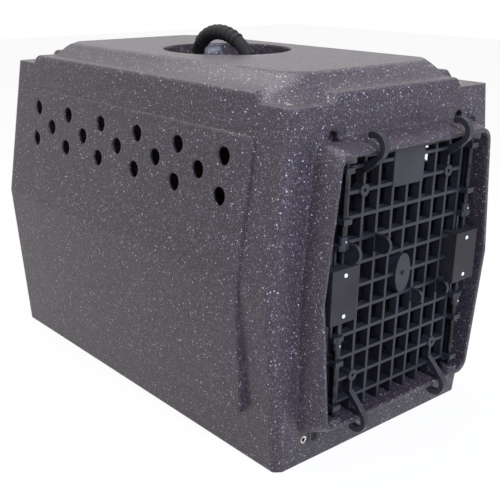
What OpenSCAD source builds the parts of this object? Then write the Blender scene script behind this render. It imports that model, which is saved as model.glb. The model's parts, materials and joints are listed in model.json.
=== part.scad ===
// One-piece moulded pet transport kennel with a lift-off grid door, held and hinged by four spring rods.
// Millimetres. +Z up, the door faces -Y. X = 0 is the middle plane, Z = 0 is the ground.

/* [Shell] */
// Width across the mid-height ridge of the side walls
ridge_w = 500; // [440:1:560]
// Width of the base
base_w = 438; // [400:1:480]
// Width at the corner pads of the roof
top_w = 430; // [400:1:460]
// Length along the mid-height ridge
ridge_l = 768; // [680:1:920]
// How far the front wall leans back from the ridge up to the roof
front_top_in = 5; // [0:0.5:12]
// How far the front wall leans back from the ridge down to the base
front_base_in = 8; // [0:0.5:12]
// How far the back wall leans in from the ridge up to the roof
back_top_in = 7; // [0:0.5:12]
// How far the back wall stands out at the base, past the ridge
back_base_out = 8; // [0:0.5:12]
// Height of the corner pads of the roof
pad_h = 540; // [520:1:640]
// Height of the ridge where the side walls turn
ridge_h = 289; // [260:1:330]
// Wall thickness
wall = 6; // [5:0.5:8]

/* [Roof] */
// Rise of the edge strips over the corner pads
strip_rise = 15; // [8:1:22]
// Rise of the middle deck over the edge strips
deck_rise = 22; // [14:1:30]
// Width of the deck top
deck_w = 322; // [280:1:340]
// Gap from the deck top to the roof's front end
deck_front_gap = 60; // [52:1:80]
// Gap from the deck top to the roof's back end
deck_back_gap = 84; // [52:1:100]
// Corner cut of the deck top
deck_corner = 35; // [20:1:50]
// Side slope of the deck, run per unit of rise
deck_slope = 1.3; // [0.8:0.05:1.4]
// Length of each corner notch along the side wall
notch_l = 79; // [60:1:90]
// Width of each corner notch along the end wall
notch_w = 85; // [60:1:95]
// Radius of the round handle well
well_r = 112; // [104:1:118]
// Depth of the handle well below the deck
well_depth = 42; // [38:1:48]
// How far the well sits behind the middle of the roof
well_y = 6; // [-10:1:20]

/* [Side panel and vents] */
// How far the raised side panel stands out at the ridge
panel_out = 4; // [2:0.5:6]
// How far the raised side panel stands out at its lower edge
panel_low_out = 12; // [6:0.5:14]
// Gap from the front ridge to the side panel
panel_front_gap = 68; // [50:1:90]
// Gap from the side panel to the back ridge
panel_back_gap = 108; // [80:1:130]
// Height of the side panel's lower edge
panel_low = 80; // [60:1:110]
// Height of the side panel's upper edge
panel_high = 495; // [480:1:505]
// Vent hole diameter
vent_d = 27; // [20:0.5:32]
// Vent spacing along the wall
vent_pitch = 107; // [90:1:115]
// Height between vent rows
vent_rise = 28.4; // [20:0.1:34]
// Height of the top row of vents
vent_top = 462; // [440:1:475]
// Number of vents in the top row
vent_n = 6; // [3:1:6]

/* [Door opening] */
// Opening half width at its middle height
mouth_mid = 184; // [178:1:190]
// Opening half width at its top
mouth_top = 161; // [158:1:168]
// Opening half width at its sill
mouth_sill = 163; // [158:1:168]
// Height of the opening's top edge above the door's middle
mouth_up = 197; // [196:1:204]
// Height of the door's middle above the sill
mouth_down = 201; // [200:1:206]
// Height of the door's middle
door_z = 279; // [276:1:284]
// How far the rim stands out from the front ridge
rim_out = 38; // [34:1:44]
// Corner radius of the opening
mouth_r = 16; // [8:1:24]

/* [Door] */
// Column spacing of the grid
cell_w = 31.7; // [30:0.1:32]
// Row spacing of the grid
cell_h = 35.5; // [35:0.1:36]
// Bar thickness across
bar = 5; // [4:0.5:5]
// Grid depth, front to back
grid_t = 14; // [10:1:18]
// How far the grid's front stands behind the rim's edge
door_back = 20; // [18:1:24]
// Sideways place of the rods
rod_x = 140; // [139:0.5:141]
// Rod radius
rod_r = 4; // [3:0.5:4.5]
// Radial clearance of each rod in its guides and bushes
rod_fit = 0.08; // [0.03:0.01:0.1]
// How far each rod draws in
rod_travel = 14; // [12:0.5:15]
// How deep each rod sits in its bush
rod_grip = 12; // [9:0.5:12]

/* [Latch housings] */
// Housing width
case_w = 54; // [52:0.5:56]
// Housing height
case_h = 82; // [80:1:86]
// Housing depth
case_t = 24; // [22:1:26]
// Housing wall
case_wall = 3; // [2:0.5:3.5]
// Cover plate thickness
cover_t = 3; // [2:0.5:4]
// Distance between a cover's two screws
cover_pitch = 61; // [58:0.5:64]
// Finger gap between a pull and its housing
pull_gap = 24; // [21:0.5:28]

/* [Handle] */
// Radius of the handle's arch, at the middle of the grip
arch_r = 82; // [76:1:88]
// Half angle of the grip's arch
arch_a = 57; // [50:1:60]
// Grip radius
grip_r = 13.4; // [9:0.1:13.5]
// Height of the pivot pins over the well floor
pivot_up = 14; // [14:0.5:16]
// Height of the arch's middle line over the pivot pins
arch_up = 57; // [52:1:59]
// How far the handle sits behind the middle of the well
handle_y = 8.5; // [-10:0.5:12]
// How far the handle leans over to the left at rest, in degrees
handle_lean = 10; // [0:1:15]
// Handle pin radius
hpin_r = 3; // [2.5:0.5:3.5]

/* [Threaded inserts] */
// Insert outer radius
insert_r = 6; // [5:0.5:9]
// Insert hole radius
insert_hole_r = 3.4; // [2.5:0.1:4.2]
// Insert length
insert_l = 14; // [10:1:16]
// Roof inserts, in from the side edge of the pads
insert_side_in = 28; // [24:1:34]
// Roof inserts, in from the end ridge
insert_end_in = 42; // [36:1:46]
// Front inserts, half their spacing
front_insert_x = 166; // [150:1:180]
// Front inserts, height over the ground
front_insert_z = 41; // [36:1:46]

/* [Hidden] */
$fn = 64;
eps = 0.01;

front_y = -ridge_l / 2;
back_y = ridge_l / 2;
strip_h = pad_h + strip_rise;
deck_h = strip_h + deck_rise;
side_lean = (ridge_w - top_w) / 2 / (pad_h - ridge_h);
base_lean = (ridge_w - base_w) / 2 / ridge_h;

rim_y = front_y - rim_out;
rim_wall = wall;
mouth_top_z = door_z + mouth_up;
mouth_sill_z = door_z - mouth_down;

grid_y = rim_y + door_back;
grid_back_y = grid_y + grid_t;
rod_y = grid_y - 6;
vent_lip = 3.5;
panel_r = 16;
bush_wall = 4;
bush_r = rod_r + bush_wall;
boss_r = bush_r + 5;
boss_drop = 8;
bush_l = boss_drop + 5;
row_n = 5;
col_n = 4;
outer_x = 154;
link_rows = [-5, -3, 3, 5];
stub_up = mouth_up - 3;
stub_down = mouth_down - 2;

cover_y = grid_y - 16;
case_y = cover_y + cover_t;
mech_y = rod_y + 7;
screw_r = 2.2;
screw_fit = 0.05;
bridge_t = 7.5;
bridge_h = 10;
foot_t = 8;
leg_x = 8;
leg_w = 4;
leg_t = 6;
pull_bar_h = 8;
pull_half = leg_x + leg_w / 2;
pull_z = case_h / 2 + pull_gap;
collar_h = 12;
collar_r = rod_r + 2.5;
pin_r = 1.5;
pin_z = pull_z + pull_bar_h + 5;
foot_top = case_h / 2 - case_wall - 1;
divider_t = 6;
spring_r = 5;
spring_wire = 1.4;

hook_t = 9;
hook_x = 3 * cell_w;
hook_ring_r = 16.5;
hook_band = 8.5;
hook_tip_a = 72;
hook_set_back = 6;
hook_past_rim = 2;
ring_boss_r = 9;
ring_hole_r = 2.75;

tab_h = 27;
tab_out = 29;
low_tab_h = 21;
low_tab_out = 22;
tab_rim = 3;
tab_web = 2;

well_floor = deck_h - well_depth;
pivot_z = well_floor + pivot_up;
arch_z = pivot_z + arch_up - arch_r;
arch_yc = well_y + handle_y;
eye_r = 7;
eye_l = 11;
strap_a = acos((arch_r - arch_up + eye_r - 1.5) / arch_r);
eye_y = arch_r * sin(strap_a) + eye_l / 2 - 2;
ear_t = 3;
pin_fit = 0.08;
core_w = 16;
core_t = 3;
core_fit = 0.2;
bracket_w = 36;
bracket_t = 3;
bracket_screw_x = 13;

insert_x = top_w / 2 - insert_side_in;
insert_y = ridge_l / 2 - insert_end_in;
front_wall_y = front_y + front_base_in * (1 - front_insert_z / ridge_h);

// The hooks reach furthest forward and the base furthest back: this centres the whole on Y = 0.
hook_front_y = rim_y + hook_set_back - hook_ring_r - hook_band / 2;
shift_y = -(hook_front_y + back_y + back_base_out) / 2;

// A box by its low and high corners.
module box(low, high) {
    translate(low) cube(high - low);
}

// Lays an XZ outline along Y, from y0 to y1.
module along_y(y0, y1) {
    translate([0, y1, 0]) rotate([90, 0, 0]) linear_extrude(y1 - y0) children();
}

// Lays a YZ outline along X, centred, of width w.
module along_x(w) {
    translate([-w / 2, 0, 0]) rotate([90, 0, 90]) linear_extrude(w) children();
}

module both_sides() {
    for (side = [-1, 1]) scale([side, 1, 1]) children();
}

module place() {
    translate([0, shift_y, 0]) children();
}

// Rounds the corners of a convex outline that is listed anticlockwise.
function unit(v) = v / norm(v);
function arc_at(a, b, c, r, n) =
    let (u = unit(a - b), v = unit(c - b), half = acos(u * v) / 2)
    let (mid = b + unit(u + v) * r / sin(half), start = atan2(u[0], -u[1]), step = (180 - 2 * half) / n)
    [for (k = [0:n]) mid + r * [cos(start + k * step), sin(start + k * step)]];
function rounded(pts, r, n = 6) =
    [for (i = [0:len(pts) - 1])
        each arc_at(pts[(i + len(pts) - 1) % len(pts)], pts[i], pts[(i + 1) % len(pts)], r, n)];
function six_sided(top, mid, low, z_top, z_mid, z_low) =
    [[-low, z_low], [low, z_low], [mid, z_mid], [top, z_top], [-top, z_top], [-mid, z_mid]];

// ---- Shell ----

// A raised band's end or side view: a trapezoid that widens downwards.
module slope_view(left, right, low_z, top_z) {
    run = (top_z - low_z) * deck_slope;
    polygon([[left - run, low_z], [right + run, low_z], [right, top_z], [left, top_z]]);
}

module deck(inset) {
    half_w = deck_w / 2 - inset;
    y0 = front_y + deck_front_gap + inset;
    y1 = back_y - deck_back_gap - inset;
    low = pad_h - 1 - inset;
    top = deck_h - inset;
    front_corner = (deck_w / 2 - front_y - deck_front_gap - deck_corner) / sqrt(2) - inset;
    back_corner = (deck_w / 2 + back_y - deck_back_gap - deck_corner) / sqrt(2) - inset;
    intersection() {
        along_y(-ridge_l, ridge_l) slope_view(-half_w, half_w, low, top);
        along_x(ridge_w) slope_view(y0, y1, low, top);
        rotate([0, 0, 45]) along_x(2 * ridge_l) slope_view(-front_corner, back_corner, low, top);
        rotate([0, 0, -45]) along_x(2 * ridge_l) slope_view(-front_corner, back_corner, low, top);
    }
}

// The barrel-shaped body with its roof; inset draws the same form one wall smaller.
module form(inset) {
    top = strip_h - inset;
    half_top = top_w / 2 - side_lean * strip_rise - inset;
    front_view = six_sided(half_top, ridge_w / 2 - inset, base_w / 2 - inset, top, ridge_h, inset);
    side_view = [[front_y + front_base_in + inset, inset], [back_y + back_base_out - inset, inset],
        [back_y - inset, ridge_h], [back_y - back_top_in - inset, top],
        [front_y + front_top_in + inset, top], [front_y + inset, ridge_h]];
    difference() {
        intersection() {
            along_y(-ridge_l, ridge_l) polygon(front_view);
            along_x(2 * ridge_w) polygon(side_view);
        }
        for (sx = [-1, 1], sy = [-1, 1]) scale([sx, sy, 1]) notch(inset);
    }
    deck(inset);
}

// One corner notch over a roof pad, with sloped ends.
module notch(inset) {
    low = pad_h - inset;
    top = strip_h + 1;
    x0 = top_w / 2 - notch_w - inset;
    y0 = ridge_l / 2 - 5 - notch_l - inset;
    lean = 0.7 * (top - low);
    intersection() {
        along_y(0, ridge_l) polygon([[x0 + lean, low], [ridge_w, low], [ridge_w, top], [x0, top]]);
        along_x(2 * ridge_w) polygon([[y0 + lean, low], [ridge_l, low], [ridge_l, top], [y0, top]]);
    }
}

module side_panel() {
    wall_low = base_w / 2 + base_lean * panel_low;
    wall_high = ridge_w / 2 - side_lean * (panel_high - ridge_h);
    lap = wall / 2;
    y0 = front_y + panel_front_gap;
    y1 = back_y - panel_back_gap;
    low = panel_low - 2;
    high = panel_high + 2;
    intersection() {
        along_y(y0, y1) polygon([[wall_low - lap, low], [wall_low + panel_low_out, panel_low],
            [ridge_w / 2 + panel_out, ridge_h], [wall_high + panel_out, panel_high],
            [wall_high - lap, high], [ridge_w / 2 - lap, ridge_h]]);
        along_x(2 * ridge_w) polygon(rounded([[y0, low], [y1, low], [y1, high], [y0, high]], panel_r));
    }
}

// The rim that stands out round the door opening.
module rim() {
    hull() {
        along_y(rim_y, rim_y + 1) polygon(rounded(six_sided(mouth_top + rim_wall, mouth_mid + rim_wall,
            mouth_sill + rim_wall, mouth_top_z + rim_wall, door_z, mouth_sill_z - rim_wall),
            mouth_r + rim_wall));
        along_y(front_y + wall - 1.5, front_y + wall - 0.5) polygon(rounded(six_sided(mouth_top + 12,
            mouth_mid + 12, mouth_sill + 17, mouth_top_z + 19, door_z, mouth_sill_z - 26),
            mouth_r + rim_wall));
    }
}

module mouth_cut() {
    along_y(rim_y - 1, front_y + 3 * wall) polygon(rounded(six_sided(mouth_top, mouth_mid, mouth_sill,
        mouth_top_z, door_z, mouth_sill_z), mouth_r));
}

// Both rods' ends at one side: children are placed at the opening's edge, +Z pointing out of the door.
module rod_ends(side) {
    translate([side * rod_x, rod_y, mouth_top_z]) children();
    translate([side * rod_x, rod_y, mouth_sill_z]) mirror([0, 0, 1]) children();
}

// An upright slot shape, r wide on each side and tall over all, running back from y0 to y1.
module upright_slot(r, tall, y0, y1) {
    reach = tall / 2 - r;
    translate([0, y0, reach]) rotate([-90, 0, 0]) cylinder(h = y1 - y0, r = r);
    translate([0, y0, -reach]) rotate([-90, 0, 0]) cylinder(h = y1 - y0, r = r);
    box([-r, y0, -reach], [r, y1, reach]);
}

module vents() {
    first_y = back_y - 108;
    for (row = [0:2]) {
        offset_y = row % 2 == 0 ? 0 : vent_pitch / 2;
        count = row % 2 == 0 ? vent_n : vent_n - 1;
        for (k = [0:count - 1])
            translate([-ridge_w, first_y - offset_y - k * vent_pitch, vent_top - row * vent_rise])
                rotate([0, 90, 0]) cylinder(h = 2 * ridge_w, d = vent_d);
        // Behind a thin lip each hole opens out to the inside
        z = vent_top - row * vent_rise;
        lip_x = ridge_w / 2 + panel_out - side_lean * (z - ridge_h) - vent_lip;
        for (k = [0:count - 1]) both_sides()
            translate([lip_x, first_y - offset_y - k * vent_pitch, z])
                rotate([0, -90, 0]) cylinder(h = 2 * wall, d1 = vent_d, d2 = vent_d + 3.6 * wall);
    }
    for (k = [-2:2]) translate([k * 75, back_y - 4 * wall, vent_top])
        rotate([-90, 0, 0]) cylinder(h = 8 * wall, d = vent_d);
}

module shell() {
    color("dimgray") place() difference() {
        union() {
            moulded_body();
            for (side = [-1, 1]) rod_ends(side) translate([0, 0, -boss_drop])
                cylinder(h = boss_drop + 3, r = boss_r);
        }
        for (side = [-1, 1]) rod_ends(side) translate([0, 0, bush_l - boss_drop - 3 * bush_l])
            cylinder(h = 3 * bush_l, r = bush_r + screw_fit);
    }
}

module moulded_body() {
    dent_z = mouth_top_z + 17;
    dent_back = front_y + front_top_in + 9;
    difference() {
        union() {
            difference() {
                union() {
                    form(0);
                    both_sides() side_panel();
                    rim();
                    for (x = [-rod_x + 37, rod_x + 40]) translate([x, front_y + wall - 1, dent_z])
                        rotate([90, 0, 0]) cylinder(h = wall + 3, r1 = 12, r2 = 7.5);
                }
                difference() {
                    form(wall);
                    translate([0, well_y, well_floor - wall]) cylinder(h = 3 * well_depth, r = well_r + wall);
                }
            }
            // Backing behind the insert holes and the dents
            for (sx = [-1, 1], sy = [-1, 1])
                translate([sx * insert_x, sy * insert_y, pad_h - insert_l - 4])
                    cylinder(h = insert_l + 2, r = insert_r + 6);
            for (sx = [-1, 1]) {
                translate([sx * front_insert_x, front_wall_y + 2, front_insert_z]) rotate([-90, 0, 0])
                    cylinder(h = insert_l + 2, r = insert_r + 5);
                translate([sx * rod_x, 0, dent_z]) upright_slot(13, 30, front_y + wall, dent_back + wall);
                translate([sx * (rod_x + 2), 0, 40]) upright_slot(14, 34, front_y + wall, dent_back + wall);
            }
        }
        mouth_cut();
        translate([0, well_y, well_floor]) cylinder(h = 3 * well_depth, r = well_r);
        vents();
        for (sx = [-1, 1]) {
            translate([sx * rod_x, 0, dent_z]) upright_slot(9, 24, front_y - 4, dent_back);
            translate([sx * (rod_x + 5), 0, 42]) upright_slot(5.5, 20, front_y - 4, front_y + front_base_in + 2);
            for (sy = [-1, 1]) translate([sx * insert_x, sy * insert_y, pad_h - insert_l])
                cylinder(h = 2 * insert_l, r = insert_r + screw_fit);
            translate([sx * front_insert_x, front_wall_y - insert_l, front_insert_z]) rotate([-90, 0, 0])
                cylinder(h = 2 * insert_l, r = insert_r + screw_fit);
            for (sy = [-1, 1]) translate([sx * bracket_screw_x, arch_yc + sy * eye_y, well_floor - 2 * wall])
                cylinder(h = 4 * wall, r = screw_r + screw_fit);
        }
    }
}

module rod_bushes() {
    color("gray") place() for (side = [-1, 1]) rod_ends(side)
        translate([0, 0, -boss_drop]) difference() {
            cylinder(h = bush_l, r = bush_r);
            translate([0, 0, -1]) cylinder(h = bush_l + 2, r = rod_r + rod_fit);
        }
}

module insert() {
    difference() {
        cylinder(h = insert_l, r = insert_r);
        translate([0, 0, -1]) cylinder(h = insert_l + 2, r = insert_hole_r);
    }
}

module roof_inserts() {
    color("silver") place() for (sx = [-1, 1], sy = [-1, 1])
        translate([sx * insert_x, sy * insert_y, pad_h - insert_l]) insert();
}

module front_inserts() {
    color("silver") place() for (sx = [-1, 1])
        translate([sx * front_insert_x, front_wall_y, front_insert_z]) rotate([-90, 0, 0]) insert();
}

// ---- Door ----

module door_grid() {
    color([0.14, 0.14, 0.17]) place() difference() {
        union() {
            grid_bars();
            for (side = [-1, 1], row = link_rows) rod_guide(side, row);
            for (sx = [-1, 1], row = [-4, 4]) translate([sx * hook_x, grid_y - 2, door_z + row * cell_h])
                rotate([-90, 0, 0]) cylinder(h = grid_t + 2, r = ring_boss_r);
            box([-cell_w - bar / 2, grid_y - 1, door_z + 4 * cell_h - 6],
                [cell_w + bar / 2, grid_y + 9, door_z + stub_up]);
            along_y(grid_y - 5, grid_back_y)
                polygon([for (a = [0:7.5:352.5]) [17 * cos(a), door_z + 31 * sin(a)]]);
            finger_tab(-4, 2, tab_h, tab_out);
            finger_tab(-2, 2, tab_h, tab_out);
            finger_tab(1, -1, low_tab_h, low_tab_out);
            finger_tab(3, -1, low_tab_h, low_tab_out);
        }
        for (side = [-1, 1], row = link_rows) translate([side * rod_x, rod_y, door_z + row * cell_h - 10])
            cylinder(h = 20, r = rod_r + rod_fit);
        for (sx = [-1, 1], row = [-4, 4]) translate([sx * hook_x, grid_y - 9, door_z + row * cell_h])
            rotate([-90, 0, 0]) cylinder(h = 3 * grid_t, r = ring_hole_r);
        translate([0, grid_y - 9, door_z]) rotate([-90, 0, 0])
            cylinder(h = 3 * grid_t, r = screw_r + screw_fit);
    }
}

// The crossed bars, with room left for the two latch housings.
module grid_bars() {
    side_x = rod_x - case_w / 2;
    for (col = [-3:3]) box([col * cell_w - bar / 2, grid_y, door_z - stub_down],
        [col * cell_w + bar / 2, grid_back_y, door_z + stub_up]);
    for (side = [-1, 1], up = [-1, 1], x = [col_n * cell_w, outer_x])
        translate([side * x, 0, door_z]) scale([1, 1, up])
            box([-bar / 2, grid_y, case_h / 2], [bar / 2, grid_back_y, row_n * cell_h + bar / 2]);
    for (row = [-row_n:row_n]) {
        half = abs(row) < 2 ? side_x
            : abs(row) % 2 == 1 ? outer_x + bar / 2
            : col_n * cell_w + bar / 2;
        translate([0, 0, door_z + row * cell_h])
            box([-half, grid_y, -bar / 2], [half, grid_back_y, bar / 2]);
    }
    box([-3 * cell_w - bar / 2, grid_y, door_z + stub_up - 6], [3 * cell_w + bar / 2, grid_back_y, door_z + stub_up]);
}

module rod_guide(side, row) {
    translate([side * rod_x, rod_y, door_z + row * cell_h])
        box([-8, -8, -bar / 2 - 1.5], [8, grid_y - rod_y + 1, bar / 2 + 1.5]);
}

// A D-shaped finger tab that stands forward from a column, hanging from a row.
module finger_tab(col, row, h, out) {
    r = h / 2;
    translate([col * cell_w, grid_y + eps, door_z + row * cell_h + bar / 2 - r]) {
        along_x(bar) difference() {
            tab_outline(r, out);
            tab_outline(r - tab_rim, out - tab_rim);
        }
        along_x(tab_web) tab_outline(r - 1, out - 1);
    }
}

module tab_outline(r, out) {
    translate([-(out - r), 0]) circle(r);
    translate([-(out - r), -r]) square([out - r, 2 * r]);
}

// Flat hooks that wrap over the rim so that the door can't be pushed in.
module keeper_hooks() {
    color([0.14, 0.14, 0.17]) place() for (sx = [-1, 1]) {
        translate([sx * hook_x, 0, 0]) hook(mouth_top_z + rim_wall, 1);
        translate([sx * hook_x, 0, 0]) hook(mouth_sill_z - rim_wall, -1);
    }
}

module hook(edge_z, up) {
    ring_y = rim_y + hook_set_back;
    root_z = door_z + up * (row_n * cell_h + bar / 2) - edge_z - up * hook_past_rim;
    translate([0, ring_y, edge_z + up * hook_past_rim]) scale([1, 1, up]) along_x(hook_t) {
        difference() {
            circle(hook_ring_r + hook_band / 2);
            circle(hook_ring_r - hook_band / 2);
            polygon([[0, 0], [40 * cos(-132), 40 * sin(-132)], [0, -60], [60, -60], [60, 60],
                [40 * cos(hook_tip_a), 40 * sin(hook_tip_a)]]);
        }
        translate([hook_ring_r * cos(hook_tip_a), hook_ring_r * sin(hook_tip_a)]) circle(hook_band / 2 + 0.4);
        hook_shank(grid_y - ring_y, up * root_z);
    }
}

// The straight part from the grid's front to the ring, rooted inside the ring's band.
module hook_shank(end_y, end_z) {
    a = -138;
    r0 = hook_ring_r - hook_band / 2 + 0.8;
    r1 = hook_ring_r + hook_band / 2 - 0.8;
    polygon([[r0 * cos(a), r0 * sin(a)], [r1 * cos(a), r1 * sin(a)], [-6, -r1 - 4],
        [end_y, end_z - 14], [end_y, end_z]]);
}

module door_centre_screw() {
    color("darkslategray") place() translate([0, grid_y - 5, door_z]) rotate([-90, 0, 0]) {
        cylinder(h = grid_t, r = screw_r);
        translate([0, 0, -2]) cylinder(h = 2, r = 3.6);
    }
}

// ---- Latch housings ----

module at_side(side) {
    place() translate([side * rod_x, 0, door_z]) children();
}

module housing(side) {
    w = case_w / 2;
    h = case_h / 2;
    back = case_y + case_t;
    color([0.2, 0.2, 0.22]) at_side(side) difference() {
        union() {
            difference() {
                box([-w, case_y, -h], [w, back, h]);
                box([-w + case_wall, case_y - 1, -h + case_wall], [w - case_wall, back - case_wall, h - case_wall]);
            }
            box([-w + 1, mech_y - spring_r - 1, -divider_t / 2], [w - 1, back - 1, divider_t / 2]);
            for (up = [-1, 1]) translate([0, 0, up * cover_pitch / 2])
                box([-w + 1, case_y, -bridge_h / 2], [w - 1, case_y + bridge_t, bridge_h / 2]);
        }
        for (up = [-1, 1]) {
            translate([0, case_y - 1, up * cover_pitch / 2]) rotate([-90, 0, 0])
                cylinder(h = bridge_t + 2, r = screw_r + screw_fit);
            for (sx = [-1, 1]) translate([sx * leg_x, mech_y, up * h])
                cube([leg_w + 0.8, leg_t + 0.8, 4 * case_wall], center = true);
        }
    }
}

module cover(side) {
    w = case_w / 2;
    h = case_h / 2;
    color([0.24, 0.24, 0.26]) at_side(side) difference() {
        box([-w, cover_y, -h], [w, case_y, h]);
        for (up = [-1, 1]) translate([0, cover_y - 1, up * cover_pitch / 2]) rotate([-90, 0, 0])
            cylinder(h = cover_t + 2, r = screw_r + screw_fit);
    }
}

module housing_left() { housing(-1); }
module housing_right() { housing(1); }
module cover_left() { cover(-1); }
module cover_right() { cover(1); }

module cover_screws() {
    color("silver") for (side = [-1, 1], up = [-1, 1]) at_side(side)
        translate([0, cover_y, up * cover_pitch / 2]) rotate([-90, 0, 0]) {
            cylinder(h = cover_t + bridge_t - 1, r = screw_r);
            translate([0, 0, -1.6]) cylinder(h = 1.6, r = 3.2);
        }
}

// ---- Rods, pulls, pins and springs ----
// The right rods stand out in their bushes, as hinge pins. The left rods are held back by their travel.
function held_back(side) = side < 0 ? rod_travel : 0;
function rod_tip(side, up) = (up > 0 ? mouth_up : mouth_down) - boss_drop + rod_grip - held_back(side);

module at_slide(side, up) {
    at_side(side) scale([1, 1, up]) children();
}

module rod(side, up) {
    low = pull_z + pull_bar_h - 2;
    color("slategray") at_slide(side, up) difference() {
        translate([0, rod_y, low]) cylinder(h = rod_tip(side, up) - low, r = rod_r);
        translate([0, rod_y - 9, pin_z]) rotate([-90, 0, 0]) cylinder(h = 18, r = pin_r + screw_fit);
    }
}

module pull(side, up) {
    foot = foot_top - held_back(side);
    front = rod_y - rod_r;
    color([0.14, 0.14, 0.17]) at_slide(side, up) difference() {
        union() {
            box([-pull_half, front, pull_z], [pull_half, mech_y + leg_t / 2, pull_z + pull_bar_h]);
            translate([0, rod_y, pull_z]) cylinder(h = pull_bar_h + collar_h, r = collar_r);
            for (sx = [-1, 1]) translate([sx * leg_x, mech_y, 0])
                box([-leg_w / 2, -leg_t / 2, foot - foot_t], [leg_w / 2, leg_t / 2, pull_z + 1]);
            box([-pull_half, mech_y - 5, foot - foot_t], [pull_half, mech_y + 5, foot]);
        }
        translate([0, rod_y, pull_z + pull_bar_h - 2]) cylinder(h = 2 * collar_h, r = rod_r + screw_fit);
        translate([0, rod_y - 9, pin_z]) rotate([-90, 0, 0]) cylinder(h = 18, r = pin_r + screw_fit);
    }
}

module pin(side, up) {
    color("silver") at_slide(side, up) translate([0, rod_y - collar_r - 0.5, pin_z]) rotate([-90, 0, 0])
        cylinder(h = 2 * collar_r + 1, r = pin_r);
}

module spring(side, up) {
    low = divider_t / 2;
    high = foot_top - foot_t - held_back(side);
    color("silver") at_slide(side, up) translate([0, mech_y, low]) difference() {
        cylinder(h = high - low, r = spring_r);
        translate([0, 0, -1]) cylinder(h = high - low + 2, r = spring_r - spring_wire);
    }
}

module rod_upper_left() { rod(-1, 1); }
module rod_lower_left() { rod(-1, -1); }
module rod_upper_right() { rod(1, 1); }
module rod_lower_right() { rod(1, -1); }
module pull_upper_left() { pull(-1, 1); }
module pull_lower_left() { pull(-1, -1); }
module pull_upper_right() { pull(1, 1); }
module pull_lower_right() { pull(1, -1); }
module pin_upper_left() { pin(-1, 1); }
module pin_lower_left() { pin(-1, -1); }
module pin_upper_right() { pin(1, 1); }
module pin_lower_right() { pin(1, -1); }
module spring_upper_left() { spring(-1, 1); }
module spring_lower_left() { spring(-1, -1); }
module spring_upper_right() { spring(1, 1); }
module spring_lower_right() { spring(1, -1); }

// ---- Handle ----

module at_arch() {
    place() translate([0, arch_yc, 0]) children();
}

// Sweeps an XY outline, given from the arch's centre, through +-angle about the arch's top.
module arch_sweep(angle) {
    translate([0, 0, arch_z]) rotate([0, -90, 0]) rotate([0, 0, -angle])
        rotate_extrude(angle = 2 * angle) translate([arch_r, 0]) children();
}

// The swinging part of the handle, leaning over as it rests.
module at_handle() {
    at_arch() translate([0, 0, pivot_z]) rotate([0, -handle_lean, 0]) translate([0, 0, -pivot_z]) children();
}

module handle_grip() {
    color([0.08, 0.08, 0.09]) at_handle() arch_sweep(arch_a) difference() {
        circle(grip_r);
        square([core_t + 2 * core_fit, core_w + 2 * core_fit], center = true);
    }
}

module handle_core() {
    color([0.12, 0.12, 0.13]) at_handle() difference() {
        union() {
            arch_sweep(strap_a) square([core_t, core_w], center = true);
            for (sy = [-1, 1]) translate([0, sy * eye_y, pivot_z]) rotate([90, 0, 0])
                cylinder(h = eye_l, r = eye_r, center = true);
        }
        for (sy = [-1, 1]) translate([0, sy * eye_y, pivot_z]) rotate([90, 0, 0])
            cylinder(h = 3 * eye_l, r = hpin_r + pin_fit, center = true);
    }
}

module handle_brackets() {
    ear = eye_l / 2 + 0.3;
    color([0.12, 0.12, 0.13]) at_arch() for (sy = [-1, 1]) translate([0, sy * eye_y, 0]) difference() {
        union() {
            box([-bracket_w / 2, -ear - ear_t, well_floor], [bracket_w / 2, ear + ear_t, well_floor + bracket_t]);
            translate([0, sy * (ear + ear_t / 2), 0]) {
                box([-eye_r, -ear_t / 2, well_floor + 1], [eye_r, ear_t / 2, pivot_z]);
                translate([0, 0, pivot_z]) rotate([90, 0, 0]) cylinder(h = ear_t, r = eye_r, center = true);
            }
        }
        translate([0, 0, pivot_z]) rotate([90, 0, 0])
            cylinder(h = 4 * eye_l, r = hpin_r + screw_fit, center = true);
        for (sx = [-1, 1]) translate([sx * bracket_screw_x, 0, well_floor - 1])
            cylinder(h = 3 * bracket_t, r = screw_r + screw_fit);
    }
}

module handle_pins() {
    inner = eye_l / 2 + 0.3;
    outer = inner + ear_t;
    color("silver") at_arch() for (sy = [-1, 1]) scale([1, sy, 1])
        translate([0, eye_y - inner, pivot_z]) rotate([-90, 0, 0]) {
            cylinder(h = inner + outer, r = hpin_r);
            translate([0, 0, -1.5]) cylinder(h = 1.5, r = hpin_r + 1.2);
            translate([0, 0, inner + outer]) cylinder(h = 1.5, r = hpin_r + 1.2);
        }
}

module handle_screws() {
    color("silver") at_arch() for (sx = [-1, 1], sy = [-1, 1])
        translate([sx * bracket_screw_x, sy * eye_y, well_floor]) {
            translate([0, 0, -wall]) cylinder(h = wall + bracket_t, r = screw_r);
            translate([0, 0, bracket_t]) cylinder(h = 2.5, r = 4);
        }
}

shell();
rod_bushes();
roof_inserts();
front_inserts();
door_grid();
keeper_hooks();
door_centre_screw();
housing_left();
housing_right();
cover_left();
cover_right();
cover_screws();
rod_upper_left();
rod_lower_left();
rod_upper_right();
rod_lower_right();
pull_upper_left();
pull_lower_left();
pull_upper_right();
pull_lower_right();
pin_upper_left();
pin_lower_left();
pin_upper_right();
pin_lower_right();
spring_upper_left();
spring_lower_left();
spring_upper_right();
spring_lower_right();
handle_grip();
handle_core();
handle_brackets();
handle_pins();
handle_screws();
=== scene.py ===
import json
import math

import bmesh
import bpy
from mathutils import Matrix, Vector
from mathutils.bvhtree import BVHTree

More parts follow.
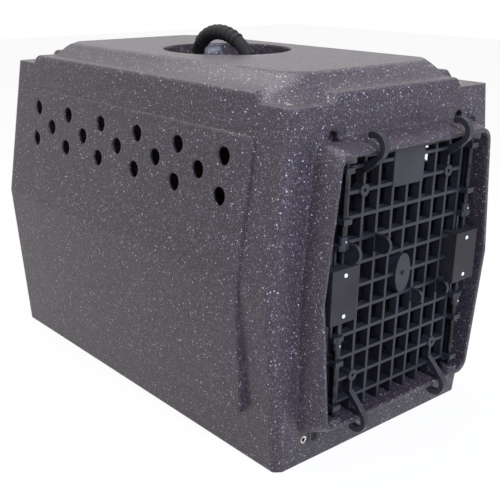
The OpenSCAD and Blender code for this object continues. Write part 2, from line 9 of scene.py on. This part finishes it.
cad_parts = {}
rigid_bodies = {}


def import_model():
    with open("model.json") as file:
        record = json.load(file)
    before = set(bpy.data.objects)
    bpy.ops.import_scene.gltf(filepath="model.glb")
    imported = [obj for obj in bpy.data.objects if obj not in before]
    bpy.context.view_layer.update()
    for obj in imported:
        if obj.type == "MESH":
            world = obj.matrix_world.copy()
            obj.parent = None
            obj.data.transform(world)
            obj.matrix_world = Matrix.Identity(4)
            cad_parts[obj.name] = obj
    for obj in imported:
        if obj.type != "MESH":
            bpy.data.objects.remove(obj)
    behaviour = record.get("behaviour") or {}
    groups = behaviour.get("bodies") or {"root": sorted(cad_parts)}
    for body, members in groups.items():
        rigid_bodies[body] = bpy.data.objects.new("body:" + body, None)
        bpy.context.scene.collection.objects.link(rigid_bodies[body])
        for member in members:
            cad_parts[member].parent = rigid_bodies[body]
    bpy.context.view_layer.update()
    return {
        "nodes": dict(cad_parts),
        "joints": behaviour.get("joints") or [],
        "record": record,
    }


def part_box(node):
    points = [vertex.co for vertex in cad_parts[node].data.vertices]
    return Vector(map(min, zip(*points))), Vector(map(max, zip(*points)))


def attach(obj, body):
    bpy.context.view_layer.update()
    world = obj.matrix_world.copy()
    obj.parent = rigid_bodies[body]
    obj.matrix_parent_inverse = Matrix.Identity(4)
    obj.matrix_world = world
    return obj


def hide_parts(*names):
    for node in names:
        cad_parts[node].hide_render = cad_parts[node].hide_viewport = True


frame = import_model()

print("frame loaded")

# Camera
cameraSetup = {
    "place": (-0.9812, -1.1242, 0.7146),
    "turn": -38.656,      # degrees round the object, to its left
    "tilt": 18.934,       # degrees down
    "roll": 0.148,
    "lens": 60.82,
    "sensor": 36,
    "reach": (0.05, 60),  # nearest and farthest distance that it sees
    "shift": (0.10, 0.01),
}


def makeCamera(setup):
    turn, tilt, roll = (math.radians(setup[key]) for key in ("turn", "tilt", "roll"))
    back = Vector((math.sin(turn) * math.cos(tilt), -math.cos(turn) * math.cos(tilt),
                   math.sin(tilt)))
    level = Vector((math.cos(turn), math.sin(turn), 0))
    upright = back.cross(level)
    right = level * math.cos(roll) + upright * math.sin(roll)
    up = upright * math.cos(roll) - level * math.sin(roll)
    data = bpy.data.cameras.new("camera")
    data.lens, data.sensor_width = setup["lens"], setup["sensor"]
    data.shift_x, data.shift_y = setup["shift"]
    data.clip_start, data.clip_end = setup["reach"]
    camera = bpy.data.objects.new("camera", data)
    bpy.context.scene.collection.objects.link(camera)
    turned = Matrix((right, up, back)).transposed().to_4x4()
    camera.matrix_world = Matrix.Translation(setup["place"]) @ turned
    bpy.context.scene.camera = camera


makeCamera(cameraSetup)
bpy.context.scene.view_settings.view_transform = "Standard"
print("camera ready")


# Shader sums: a Field is one output of a node, and sums of Fields add Math nodes
class Field:
    def __init__(self, finish, made, output=0):
        self.finish, self.made = finish, made
        self.socket = made.outputs[output]

    def out(self, name):
        return Field(self.finish, self.made, name)

    def maths(self, operation, *others):
        sockets = dict(enumerate((self, *others)))
        return self.finish.node("ShaderNodeMath", {"operation": operation}, sockets)

    def flipped(self, operation, other):
        return self.finish.node("ShaderNodeMath", {"operation": operation}, {0: other, 1: self})

    def __add__(self, other):
        return self.maths("ADD", other)

    def __sub__(self, other):
        return self.maths("SUBTRACT", other)

    def __rsub__(self, other):
        return self.flipped("SUBTRACT", other)

    def __mul__(self, other):
        return self.maths("MULTIPLY", other)

    def __gt__(self, other):
        return self.maths("GREATER_THAN", other)

    def __lt__(self, other):
        return self.maths("LESS_THAN", other)

    __radd__ = __add__
    __rmul__ = __mul__


class Finish:
    def __init__(self, name, surface="ShaderNodeBsdfPrincipled", worldTree=None):
        if worldTree:
            self.tree = worldTree
        else:
            self.material = bpy.data.materials.new(name)
            self.material.use_nodes = True
            self.tree = self.material.node_tree
        self.tree.nodes.clear()
        self.surface = self.tree.nodes.new(surface)
        last = self.tree.nodes.new("ShaderNodeOutput" + ("World" if worldTree else "Material"))
        self.tree.links.new(self.surface.outputs[0], last.inputs["Surface"])

    # Settings go in first, then each socket gets its value or its link
    def node(self, kind, settings=None, sockets=None, output=0):
        made = self.tree.nodes.new(kind)
        for key, value in (settings or {}).items():
            if key == "stops":
                fillRamp(made.color_ramp, value)
            else:
                setattr(made, key, value)
        for key, value in (sockets or {}).items():
            self.feed(made.inputs[key], value)
        return Field(self, made, output)

    def feed(self, socket, value):
        if isinstance(value, Field):
            self.tree.links.new(value.socket, socket)
        else:
            socket.default_value = value

    def set(self, **values):
        for key, value in values.items():
            self.feed(self.surface.inputs[key.replace("_", " ")], value)

    def place(self):
        return self.node("ShaderNodeTexCoord", output="Object")

    def noise(self, vector, scale, detail=2, roughness=0.5):
        sockets = {"Vector": vector, "Scale": scale, "Detail": detail, "Roughness": roughness}
        return self.node("ShaderNodeTexNoise", {}, sockets, "Fac")

    def cells(self, vector, scale):
        sockets = {"Vector": vector, "Scale": scale}
        return self.node("ShaderNodeTexVoronoi", {"feature": "F1"}, sockets, "Distance")

    def mixed(self, factor, low, high):
        return self.node("ShaderNodeMix", {"data_type": "RGBA"}, {0: factor, 6: low, 7: high}, 2)

    def ramp(self, factor, stops):
        return self.node("ShaderNodeValToRGB", {"stops": stops}, {"Fac": factor})

    # A bump over softly rounded edges
    def relief(self, height, strength, depth, edge=None):
        sockets = {"Height": height, "Strength": strength, "Distance": depth}
        if edge:
            sockets["Normal"] = self.node("ShaderNodeBevel", {"samples": 6}, {"Radius": edge})
        self.set(Normal=self.node("ShaderNodeBump", {}, sockets))


def fillRamp(ramp, stops):
    while len(ramp.elements) < len(stops):
        ramp.elements.new(1)
    for element, (position, colour) in zip(ramp.elements, stops):
        element.position = position
        element.color = (*colour, 1) if len(colour) == 3 else colour


def rgb(*values):
    return (*values, 1)


# The speckled moulded shell
shellLook = {
    "plastic": rgb(0.058, 0.042, 0.055),
    "deep": rgb(0.016, 0.011, 0.015),
    "speck": rgb(0.27, 0.245, 0.275),
    "flake": rgb(0.50, 0.48, 0.54),
    "darkSpeck": rgb(0.006, 0.005, 0.008),
    "speckScale": 640.0,      # specks to a metre
    "speckSize": 0.55,
    "speckShare": 0.28,
    "darkShare": 0.25,
    "flakeScale": 330.0,
    "flakeSize": 0.36,
    "flakeShare": 0.09,
    "turn": (0.61, 0.93, 0.37),      # keeps the rows of specks off the flat sides
    "cloudScale": 5.0,
    "cloudDepth": 0.3,
    "grainScale": 520.0,
    "grainContrast": 2.6,
    "grainLift": 0.8,
    "waveScale": 130.0,
    "roughness": 0.38,
    "roughnessSpread": 0.16,
    "specular": 0.36,
    "bump": 0.35,
    "bumpDepth": 0.0006,
    "edge": 0.006,
}


def makeShellFinish(look):
    f = Finish("speckledShell")
    place = f.place()
    cloud = f.noise(place, look["cloudScale"], 3)
    grain = f.noise(place, look["grainScale"], 2, 0.7)
    turned = f.node("ShaderNodeMapping", {}, {"Vector": place, "Rotation": look["turn"]})
    specks = f.cells(turned, look["speckScale"])
    lot = f.node("ShaderNodeSeparateColor", {}, {0: specks.out("Color")})
    near = f.ramp(specks, [(look["speckSize"] * 0.55, (1, 1, 1)), (look["speckSize"], (0, 0, 0))])
    light = near * (lot < look["speckShare"])
    dark = near * (lot > 1 - look["darkShare"])
    blotch = grain * look["grainContrast"] - look["grainLift"] + (cloud - 0.5) * look["cloudDepth"]
    tone = f.mixed(blotch, look["deep"], look["plastic"])
    tone = f.mixed(dark * 0.75, tone, look["darkSpeck"])
    tone = f.mixed(light * lot.out(1), tone, look["speck"])
    flakes = f.cells(turned, look["flakeScale"])
    draw = f.node("ShaderNodeSeparateColor", {}, {0: flakes.out("Color")})
    shown = (flakes < look["flakeSize"]) * (draw < look["flakeShare"])
    tone = f.mixed(shown * draw.out(1), tone, look["flake"])
    spread = look["roughnessSpread"]
    f.set(Base_Color=tone, Specular_IOR_Level=look["specular"],
          Roughness=grain * spread + (look["roughness"] - spread / 2))
    height = grain * 0.6 + f.noise(place, look["waveScale"], 1)
    f.relief(height, look["bump"], look["bumpDepth"], look["edge"])
    return f.material


# Black moulded parts of the door and the handle: colour, sheen and grain differ
plasticLooks = {
    "doorPlastic": {"colour": rgb(0.012, 0.012, 0.017), "worn": rgb(0.026, 0.026, 0.036),
                    "roughness": 0.4, "grain": 700.0, "depth": 0.0002, "specular": 0.42,
                    "edge": 0.0012},
    "latchPlastic": {"colour": rgb(0.017, 0.0155, 0.0175), "worn": rgb(0.034, 0.031, 0.035),
                     "roughness": 0.5, "grain": 900.0, "depth": 0.0003, "specular": 0.22,
                     "edge": 0.0015},
    "bushPlastic": {"colour": rgb(0.03, 0.03, 0.035), "worn": rgb(0.06, 0.06, 0.07),
                    "roughness": 0.45, "grain": 600.0, "depth": 0.0002, "specular": 0.35,
                    "edge": 0.001},
    "strapPlastic": {"colour": rgb(0.014, 0.014, 0.016), "worn": rgb(0.03, 0.03, 0.033),
                     "roughness": 0.55, "grain": 800.0, "depth": 0.0003, "specular": 0.3,
                     "edge": 0.001},
    "gripRubber": {"colour": rgb(0.007, 0.0065, 0.0075), "worn": rgb(0.016, 0.015, 0.017),
                   "roughness": 0.6, "grain": 1100.0, "depth": 0.0003, "specular": 0.2,
                   "edge": None},
}


def makePlasticFinish(name, look):
    f = Finish(name)
    place = f.place()
    grain = f.noise(place, look["grain"], 2, 0.6)
    patch = f.noise(place, 14.0, 3, 0.6)
    rubbed = f.ramp(patch * 0.7 + grain * 0.3, [(0.42, (0, 0, 0)), (0.72, (1, 1, 1))])
    f.set(Specular_IOR_Level=look["specular"],
          Base_Color=f.mixed(rubbed, look["colour"], look["worn"]),
          Roughness=patch * 0.2 + grain * 0.1 + (look["roughness"] - 0.15))
    f.relief(grain, 0.4, look["depth"], look["edge"])
    return f.material


# Metals: dull spots, and marks that are stretched along a drawn rod
metalLooks = {
    "rodSteel": {"colour": rgb(0.05, 0.05, 0.055), "dull": rgb(0.02, 0.02, 0.024),
                 "roughness": 0.38, "stretch": (900.0, 900.0, 25.0)},
    "springSteel": {"colour": rgb(0.62, 0.62, 0.64), "dull": rgb(0.3, 0.3, 0.31),
                    "roughness": 0.3, "stretch": (500.0, 500.0, 500.0)},
    "brightSteel": {"colour": rgb(0.82, 0.82, 0.84), "dull": rgb(0.42, 0.42, 0.43),
                    "roughness": 0.22, "stretch": (420.0, 420.0, 420.0)},
    "insertMetal": {"colour": rgb(0.86, 0.83, 0.78), "dull": rgb(0.4, 0.38, 0.34),
                    "roughness": 0.25, "stretch": (300.0, 300.0, 300.0)},
    "darkScrew": {"colour": rgb(0.09, 0.09, 0.1), "dull": rgb(0.04, 0.04, 0.045),
                  "roughness": 0.35, "stretch": (500.0, 500.0, 500.0)},
}


def makeMetalFinish(name, look):
    f = Finish(name)
    drawn = f.node("ShaderNodeMapping", {}, {"Vector": f.place(), "Scale": look["stretch"]})
    marks = f.noise(drawn, 1.0, 3, 0.6)
    spots = f.noise(f.place(), 90.0, 4, 0.65)
    share = f.ramp(spots, [(0.35, (1, 1, 1)), (0.6, (0, 0, 0))])
    f.set(Base_Color=f.mixed(share, look["colour"], look["dull"]),
          Metallic=1.0, Roughness=marks * 0.25 + spots * 0.1 + (look["roughness"] - 0.15))
    f.relief(marks, 0.2, 0.0001, 0.0005)
    return f.material


finishes = {"speckledShell": makeShellFinish(shellLook)}
for name, look in plasticLooks.items():
    finishes[name] = makePlasticFinish(name, look)
for name, look in metalLooks.items():
    finishes[name] = makeMetalFinish(name, look)

slotFinishes = {
    "shell": "speckledShell", "bush": "bushPlastic", "insert": "insertMetal",
    "door_plastic": "doorPlastic", "latch_plastic": "latchPlastic", "dark_screw": "darkScrew",
    "rod_steel": "rodSteel", "spring_steel": "springSteel", "grip_rubber": "gripRubber",
    "handle_plastic": "strapPlastic", "bright_steel": "brightSteel",
}
for part in frame["record"]["subparts"]:
    slots = frame["nodes"][part["node"]].data.materials
    slots.clear()
    slots.append(finishes[slotFinishes[part["material_slot"]]])
print("finishes on the carried-over parts")


# Geometry Nodes: one helper for trees, one to bake them to a plain mesh
class Tree:
    def __init__(self, name, sizes):
        self.tree = bpy.data.node_groups.new(name, "GeometryNodeTree")
        face = self.tree.interface
        face.new_socket("Geometry", in_out="OUTPUT", socket_type="NodeSocketGeometry")
        self.ids = {}
        for key, value in sizes.items():
            kind = "NodeSocketInt" if isinstance(value, int) else "NodeSocketFloat"
            self.ids[key] = face.new_socket(key, in_out="INPUT", socket_type=kind).identifier
        self.sizes = sizes
        self.given = self.tree.nodes.new("NodeGroupInput")
        self.result = self.tree.nodes.new("NodeGroupOutput")

    def size(self, key):
        return self.given.outputs[key]

    def node(self, kind, settings=None, sockets=None, output=0):
        made = self.tree.nodes.new(kind)
        for key, value in (settings or {}).items():
            setattr(made, key, value)
        for key, value in (sockets or {}).items():
            self.feed(made.inputs[key], value)
        return made.outputs[output]

    def feed(self, socket, value):
        if isinstance(value, bpy.types.NodeSocket):
            self.tree.links.new(value, socket)
        else:
            socket.default_value = value

    def maths(self, operation, *values):
        return self.node("ShaderNodeMath", {"operation": operation}, dict(enumerate(values)))

    def vector(self, *values):
        return self.node("ShaderNodeCombineXYZ", {}, dict(enumerate(values)))

    def finish(self, geometry, finishName):
        whole = self.node("GeometryNodeRealizeInstances", {}, {0: geometry})
        sockets = {0: whole, "Material": finishes[finishName]}
        whole = self.node("GeometryNodeSetMaterial", {}, sockets)
        self.tree.links.new(whole, self.result.inputs[0])


def linked(name, data):
    made = bpy.data.objects.new(name, data)
    bpy.context.scene.collection.objects.link(made)
    return made


# The mesh that a holder's modifiers give; the holder goes
def plainMesh(holder):
    seen = holder.evaluated_get(bpy.context.evaluated_depsgraph_get())
    mesh = bpy.data.meshes.new_from_object(seen)
    bpy.data.objects.remove(holder)
    return mesh


def bakeTree(tree, name, place):
    holder = linked(name + "Source", bpy.data.meshes.new(name + "Source"))
    modifier = holder.modifiers.new("nodes", "NODES")
    modifier.node_group = tree.tree
    for key, value in tree.sizes.items():
        modifier[tree.ids[key]] = value
    return linked(name, placedMesh(name, plainMesh(holder), place))


# A copy of a mesh at its place, with all of its faces in the first material slot
def placedMesh(name, mesh, place):
    placed = bpy.data.meshes.new(name)
    placed.from_pydata([place @ vertex.co for vertex in mesh.vertices], [],
                       [list(face.vertices) for face in mesh.polygons])
    placed.polygons.foreach_set("use_smooth", [face.use_smooth for face in mesh.polygons])
    for material in mesh.materials:
        placed.materials.append(material)
    placed.update()
    return placed


# The moulded shell, with its long outer edges rounded
shellRounding = {
    "deck": 0.007,
    "strip": 0.006,
    "corner": 0.013,
    "base": 0.004,
    "panel": 0.0028,
    "segments": 4,
    "shortestDeck": 0.012,      # shorter edges stay as they are
    "shortest": 0.1,
    "long": 0.2,                # length of an edge that runs along a whole side
    "flatWithin": 0.6,          # degrees between faces that are merged into one
    "sharpFrom": 26,            # degrees that shading shows as an edge
    "bend": 12,                 # degrees between the faces of an edge that may be rounded
    "squareBend": 60,
    "aboveDeckEdge": 0.008,
    "cornerX": 0.2,             # corners lie further out than this
    "cornerY": 0.33,
    "panelX": 0.221,
    "panelY": 0.31,             # side panels end before this
}


def turn(edge):
    return math.degrees(edge.calc_face_angle(0))


def rise(edge):
    return (edge.verts[1].co - edge.verts[0].co).normalized().z


def height(edge):
    return edge.verts[0].co.z


def isLevel(edge):
    return abs(edge.verts[0].co.z - edge.verts[1].co.z) < 4e-4


def nearest(edge, axis):
    return min(abs(vertex.co[axis]) for vertex in edge.verts)


def makeShell(sizes):
    work = bmesh.new()
    work.from_mesh(frame["nodes"]["shell"].data)
    bmesh.ops.remove_doubles(work, verts=work.verts, dist=2e-6)
    bmesh.ops.dissolve_limit(work, angle_limit=math.radians(sizes["flatWithin"]),
                             verts=work.verts, edges=work.edges)
    mounts = frame["record"]["mounts"]
    padTop = next(mount["pos_m"][2] for mount in mounts if mount["name"] == "roof_inserts")
    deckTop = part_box("shell")[1].z

    def isSquare(edge):
        return edge.is_convex and turn(edge) > sizes["squareBend"]

    def isLong(edge):
        return edge.calc_length() > sizes["long"]

    levels = sorted({round(height(edge), 4) for edge in work.edges if isLevel(edge) and isLong(edge)
                     and padTop + sizes["aboveDeckEdge"] < height(edge) < deckTop})
    stripTop = next(z for z in levels if any(
        isLevel(edge) and abs(height(edge) - z) < 2e-4 and isSquare(edge) and isLong(edge)
        for edge in work.edges))
    print("shell levels", round(padTop, 4), stripTop, round(deckTop, 4))

    def at(z):
        return lambda edge: (isLevel(edge) and abs(height(edge) - z) < 6e-4
                             and turn(edge) > sizes["bend"])

    def isStrip(edge):
        return at(stripTop)(edge) and isSquare(edge)

    def isCorner(edge):
        return (isLong(edge) and isSquare(edge) and abs(rise(edge)) > 0.9
                and nearest(edge, 0) > sizes["cornerX"] and nearest(edge, 1) > sizes["cornerY"])

    def isPanel(edge):
        return (isSquare(edge) and nearest(edge, 0) > sizes["panelX"]
                and nearest(edge, 1) < sizes["panelY"])

    for test, radius, shortest in ((at(deckTop), sizes["deck"], sizes["shortestDeck"]),
                                   (isStrip, sizes["strip"], sizes["long"]),
                                   (isPanel, sizes["panel"], sizes["shortest"]),
                                   (isCorner, sizes["corner"], sizes["long"]),
                                   (at(0.0), sizes["base"], sizes["shortest"])):
        soften(work, test, radius, shortest, sizes["segments"])
    print("shell open edges", sum(len(edge.link_faces) != 2 for edge in work.edges))
    for face in work.faces:
        face.smooth = True
    mesh = bpy.data.meshes.new("shellRounded")
    work.to_mesh(mesh)
    work.free()
    mesh.materials.append(finishes["speckledShell"])
    mesh.set_sharp_from_angle(angle=math.radians(sizes["sharpFrom"]))
    holder = linked("shellSource", mesh)
    holder.modifiers.new("evenNormals", "WEIGHTED_NORMAL").keep_sharp = True
    piece = linked("shellMoulded", plainMesh(holder))
    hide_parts("shell")
    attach(piece, "carrier")


# Rounds the outer edges that pass a test: outer ones see nothing in front of them
def soften(work, test, radius, shortest, segments):
    lift, sight = 0.0008, 2.0      # where the look outwards starts, and how far it goes
    solid = BVHTree.FromBMesh(work)
    chosen = []
    for edge in work.edges:
        if edge.calc_length() < shortest or not test(edge):
            continue
        outward = (edge.link_faces[0].normal + edge.link_faces[1].normal).normalized()
        centre = (edge.verts[0].co + edge.verts[1].co) / 2
        if solid.ray_cast(centre + outward * lift, outward, sight)[0] is None:
            chosen.append(edge)
    bmesh.ops.bevel(work, geom=chosen, offset=radius, offset_type="OFFSET", segments=segments,
                    profile=0.5, affect="EDGES", clamp_overlap=True)
    print("rounded", len(chosen), "edges, volume", round(work.calc_volume() * 1000, 4))


makeShell(shellRounding)
print("shell done")

# Ribbed handle grip
gripSizes = {
    "archRadius": 0.082,
    "halfAngle": 57.0,      # degrees
    "ribRadius": 0.0131,
    "sleeveRadius": 0.0112,
    "ribPitch": 0.0112,     # along the arch
    "ribsFrom": 0.13,       # share of the arch where the ribs start
    "ribsTo": 0.78,
    "lean": 10.0,
    "pivotToMiddle": 0.025,
    "ribRoundness": 0.55,   # power of the ribs' wave: lower is fuller
    "endFlare": 0.0014,
    "endFlarePower": 14.0,
    "steps": 420,           # along the arch
    "around": 40,
}


def makeGrip(sizes):
    inputs = ("archRadius", "ribRadius", "sleeveRadius", "ribPitch", "ribsFrom", "ribsTo")
    tree = Tree("ribbedGrip", {key: sizes[key] for key in inputs})
    half = math.radians(sizes["halfAngle"])
    arch = tree.node("GeometryNodeCurveArc", {"mode": "RADIUS"},
                     {"Resolution": sizes["steps"], "Radius": tree.size("archRadius"),
                      "Start Angle": math.pi / 2 - half, "Sweep Angle": 2 * half})
    travelled = tree.node("GeometryNodeSplineParameter", output="Length")
    share = tree.node("GeometryNodeSplineParameter", output="Factor")
    turns = tree.maths("DIVIDE", travelled, tree.size("ribPitch"))
    wave = tree.maths("SINE", tree.maths("MULTIPLY", turns, 2 * math.pi))
    positive = tree.maths("ADD", tree.maths("MULTIPLY", wave, 0.5), 0.5)
    rounded = tree.maths("POWER", tree.maths("ABSOLUTE", positive), sizes["ribRoundness"])
    ribbed = tree.maths("MULTIPLY", tree.maths("GREATER_THAN", share, tree.size("ribsFrom")),
                        tree.maths("LESS_THAN", share, tree.size("ribsTo")))
    depth = tree.maths("SUBTRACT", tree.size("ribRadius"), tree.size("sleeveRadius"))
    ribs = tree.maths("MULTIPLY", tree.maths("MULTIPLY", rounded, ribbed), depth)
    fromMiddle = tree.maths("SUBTRACT", tree.maths("MULTIPLY", share, 2.0), 1.0)
    nearEnd = tree.maths("POWER", tree.maths("ABSOLUTE", fromMiddle), sizes["endFlarePower"])
    flare = tree.maths("MULTIPLY", nearEnd, sizes["endFlare"])
    width = tree.maths("ADD", tree.maths("ADD", tree.size("sleeveRadius"), ribs), flare)
    profile = tree.node("GeometryNodeCurvePrimitiveCircle", {"mode": "RADIUS"},
                        {"Resolution": sizes["around"], "Radius": 1.0})
    arch = tree.node("GeometryNodeSetCurveRadius", {}, {0: arch, "Radius": width})
    swept = tree.tree.nodes.new("GeometryNodeCurveToMesh")
    for key, value in {"Curve": arch, "Profile Curve": profile, "Fill Caps": True}.items():
        tree.feed(swept.inputs[key], value)
    if "Scale" in swept.inputs:
        tree.feed(swept.inputs["Scale"], width)
    smooth = tree.node("GeometryNodeSetShadeSmooth", {}, {0: swept.outputs[0]})
    tree.finish(smooth, "gripRubber")
    # The arch is drawn in XY with its top at +Y; it stands up in YZ and leans over its pins
    pivot = Matrix.Translation(next(joint["pos_m"] for joint in frame["joints"]
                                    if joint["name"] == "handle_fold"))
    stand = Matrix(((0, 0, 1, 0), (1, 0, 0, 0), (0, 1, 0, 0), (0, 0, 0, 1)))
    archCentre = Matrix.Translation((0, 0, -sizes["pivotToMiddle"]))
    lean = Matrix.Rotation(-math.radians(sizes["lean"]), 4, "Y")
    piece = bakeTree(tree, "gripRibbed", pivot @ lean @ archCentre @ stand)
    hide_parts("handle_grip")
    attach(piece, "handle")


makeGrip(gripSizes)
print("grip done")

# Cross-recess screws: four of them at the corners of a rectangle
screwSets = {
    "coverScrewHeads": {"node": "cover_screws", "body": "door", "slot": "dark_screw",
                        "finish": "darkScrew", "facing": "-Y",
                        "headRadius": 0.0031, "headHeight": 0.0016,
                        "shankRadius": 0.0021, "shankLength": 0.009},
    "handleScrewHeads": {"node": "handle_screws", "body": "carrier", "slot": "bright_steel",
                         "finish": "brightSteel", "facing": "+Z",
                         "headRadius": 0.0039, "headHeight": 0.0025,
                         "shankRadius": 0.0021, "shankLength": 0.008},
}
recess = {"length": 1.15, "width": 0.26, "depth": 1.1}      # shares of the head's size
cutterSize = 0.02      # takes off the lower half of the head's dome


def makeScrews(name, sizes):
    low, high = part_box(sizes["node"])
    centre = (low + high) / 2
    span = high - low - Vector((2, 2, 2)) * sizes["headRadius"]
    if sizes["facing"] == "-Y":
        spanX, spanY = span.x, span.z
        upright = Matrix.Rotation(math.pi / 2, 4, "X")
        place = Matrix.Translation((centre.x, low.y, centre.z)) @ upright
    else:
        spanX, spanY = span.x, span.y
        place = Matrix.Translation((centre.x, centre.y, high.z))
    inputs = ("headRadius", "headHeight", "shankRadius", "shankLength")
    tree = Tree(name, {"spanX": spanX, "spanY": spanY, **{key: sizes[key] for key in inputs}})
    headRadius, headHeight = tree.size("headRadius"), tree.size("headHeight")
    base = tree.maths("MULTIPLY", headHeight, -1.0)

    def moved(shape, height):
        return tree.node("GeometryNodeTransform", {},
                         {0: shape, "Translation": tree.vector(0.0, 0.0, height)})

    # The head's top stands at z = 0, and its shank goes down
    dome = tree.node("GeometryNodeMeshUVSphere", {},
                     {"Segments": 28, "Rings": 14, "Radius": headRadius})
    flat = tree.vector(1.0, 1.0, tree.maths("DIVIDE", headHeight, headRadius))
    head = tree.node("GeometryNodeTransform", {},
                     {0: dome, "Translation": tree.vector(0.0, 0.0, base), "Scale": flat})
    half = tree.node("GeometryNodeMeshCube", {}, {"Size": (cutterSize, cutterSize, cutterSize)})
    half = moved(half, tree.maths("SUBTRACT", base, cutterSize / 2))
    slot = tree.node("GeometryNodeMeshCube", {}, {"Size": tree.vector(
        tree.maths("MULTIPLY", headRadius, recess["length"]),
        tree.maths("MULTIPLY", headRadius, recess["width"]),
        tree.maths("MULTIPLY", headHeight, recess["depth"]))})
    across = tree.node("GeometryNodeTransform", {}, {0: slot, "Rotation": (0, 0, math.pi / 2)})
    for cutter in (half, slot, across):
        cut = tree.tree.nodes.new("GeometryNodeMeshBoolean")
        cut.operation = "DIFFERENCE"
        tree.feed(cut.inputs[0], head)
        tree.feed(cut.inputs[1], cutter)
        head = cut.outputs[0]
    shank = tree.node("GeometryNodeMeshCylinder", {},
                      {"Vertices": 20, "Radius": tree.size("shankRadius"),
                       "Depth": tree.size("shankLength")})
    halfShank = tree.maths("MULTIPLY", tree.size("shankLength"), 0.5)
    shank = moved(shank, tree.maths("MULTIPLY", tree.maths("ADD", headHeight, halfShank), -1.0))
    screw = tree.tree.nodes.new("GeometryNodeJoinGeometry")
    tree.tree.links.new(head, screw.inputs[0])
    tree.tree.links.new(shank, screw.inputs[0])
    corners = tree.node("GeometryNodeMeshGrid", {},
                        {"Size X": tree.size("spanX"), "Size Y": tree.size("spanY"),
                         "Vertices X": 2, "Vertices Y": 2})
    screws = tree.node("GeometryNodeInstanceOnPoints", {},
                       {0: corners, "Instance": screw.outputs[0]})
    tree.finish(screws, sizes["finish"])
    piece = bakeTree(tree, name, place)
    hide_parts(sizes["node"])
    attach(piece, sizes["body"])


for name, sizes in screwSets.items():
    makeScrews(name, sizes)
print("screws done")

# Floor and light
stageSetup = {
    "floorSize": 14.0,
    "floorDrop": 0.0004,      # below the carrier's base
    "floorColour": rgb(0.9, 0.9, 0.9),
    "floorWhite": 0.93,       # share of plain white that the camera sees in the floor
    "skyColour": rgb(1.0, 0.985, 1.0),
    "skyStrength": 0.36,
}


# A finish that is plain white where the camera, gloss or glass sees it
def fillMix(f, plain, lit, share):
    seen = f.node("ShaderNodeLightPath", output="Is Camera Ray")
    white = f.node(plain, {}, {"Color": rgb(1, 1, 1), "Strength": 1.0})
    shown = seen.maths("MAXIMUM", seen.out("Is Glossy Ray"))
    shown = shown.maths("MAXIMUM", seen.out("Is Transmission Ray"))
    for index, value in enumerate((shown * share, lit, white)):
        f.feed(f.surface.inputs[index], value)


def makeStage(setup):
    half, z = setup["floorSize"] / 2, -setup["floorDrop"]
    mesh = bpy.data.meshes.new("floor")
    corners = [(-half, -half, z), (half, -half, z), (half, half, z), (-half, half, z)]
    mesh.from_pydata(corners, [], [(0, 1, 2, 3)])
    floor = linked("floor", mesh)
    f = Finish("paleFloor", "ShaderNodeMixShader")
    matt = f.node("ShaderNodeBsdfDiffuse", {}, {"Color": setup["floorColour"]})
    fillMix(f, "ShaderNodeEmission", matt, setup["floorWhite"])
    mesh.materials.append(f.material)
    world = bpy.data.worlds.new("studio")
    bpy.context.scene.world = world
    world.use_nodes = True
    w = Finish(None, "ShaderNodeMixShader", world.node_tree)
    sky = w.node("ShaderNodeBackground", {},
                 {"Color": setup["skyColour"], "Strength": setup["skyStrength"]})
    fillMix(w, "ShaderNodeBackground", sky, 1.0)


lampSetup = {
    "top": {"place": (-0.2, 0.7, 2.6), "aim": (0, 0.1, 0.5), "size": 2.0, "power": 53.0,
            "colour": (1.0, 0.98, 0.98)},
    "left": {"place": (-2.6, 0.3, 1.2), "aim": (-0.1, 0, 0.3), "size": 1.6, "power": 15.0,
             "colour": (1.0, 0.97, 0.98)},
    "front": {"place": (-0.5, -2.3, 1.9), "aim": (0, -0.4, 0.4), "size": 1.0, "power": 92.0,
              "colour": (0.68, 0.79, 1.0)},
}


def makeLamps(setups):
    for name, setup in setups.items():
        data = bpy.data.lights.new(name, "AREA")
        data.size, data.energy, data.color = setup["size"], setup["power"], setup["colour"]
        lamp = linked(name, data)
        lamp.location = setup["place"]
        back = Vector(setup["place"]) - Vector(setup["aim"])
        lamp.rotation_euler = back.to_track_quat("Z", "Y").to_euler()


makeStage(stageSetup)
makeLamps(lampSetup)
print("floor and light done")
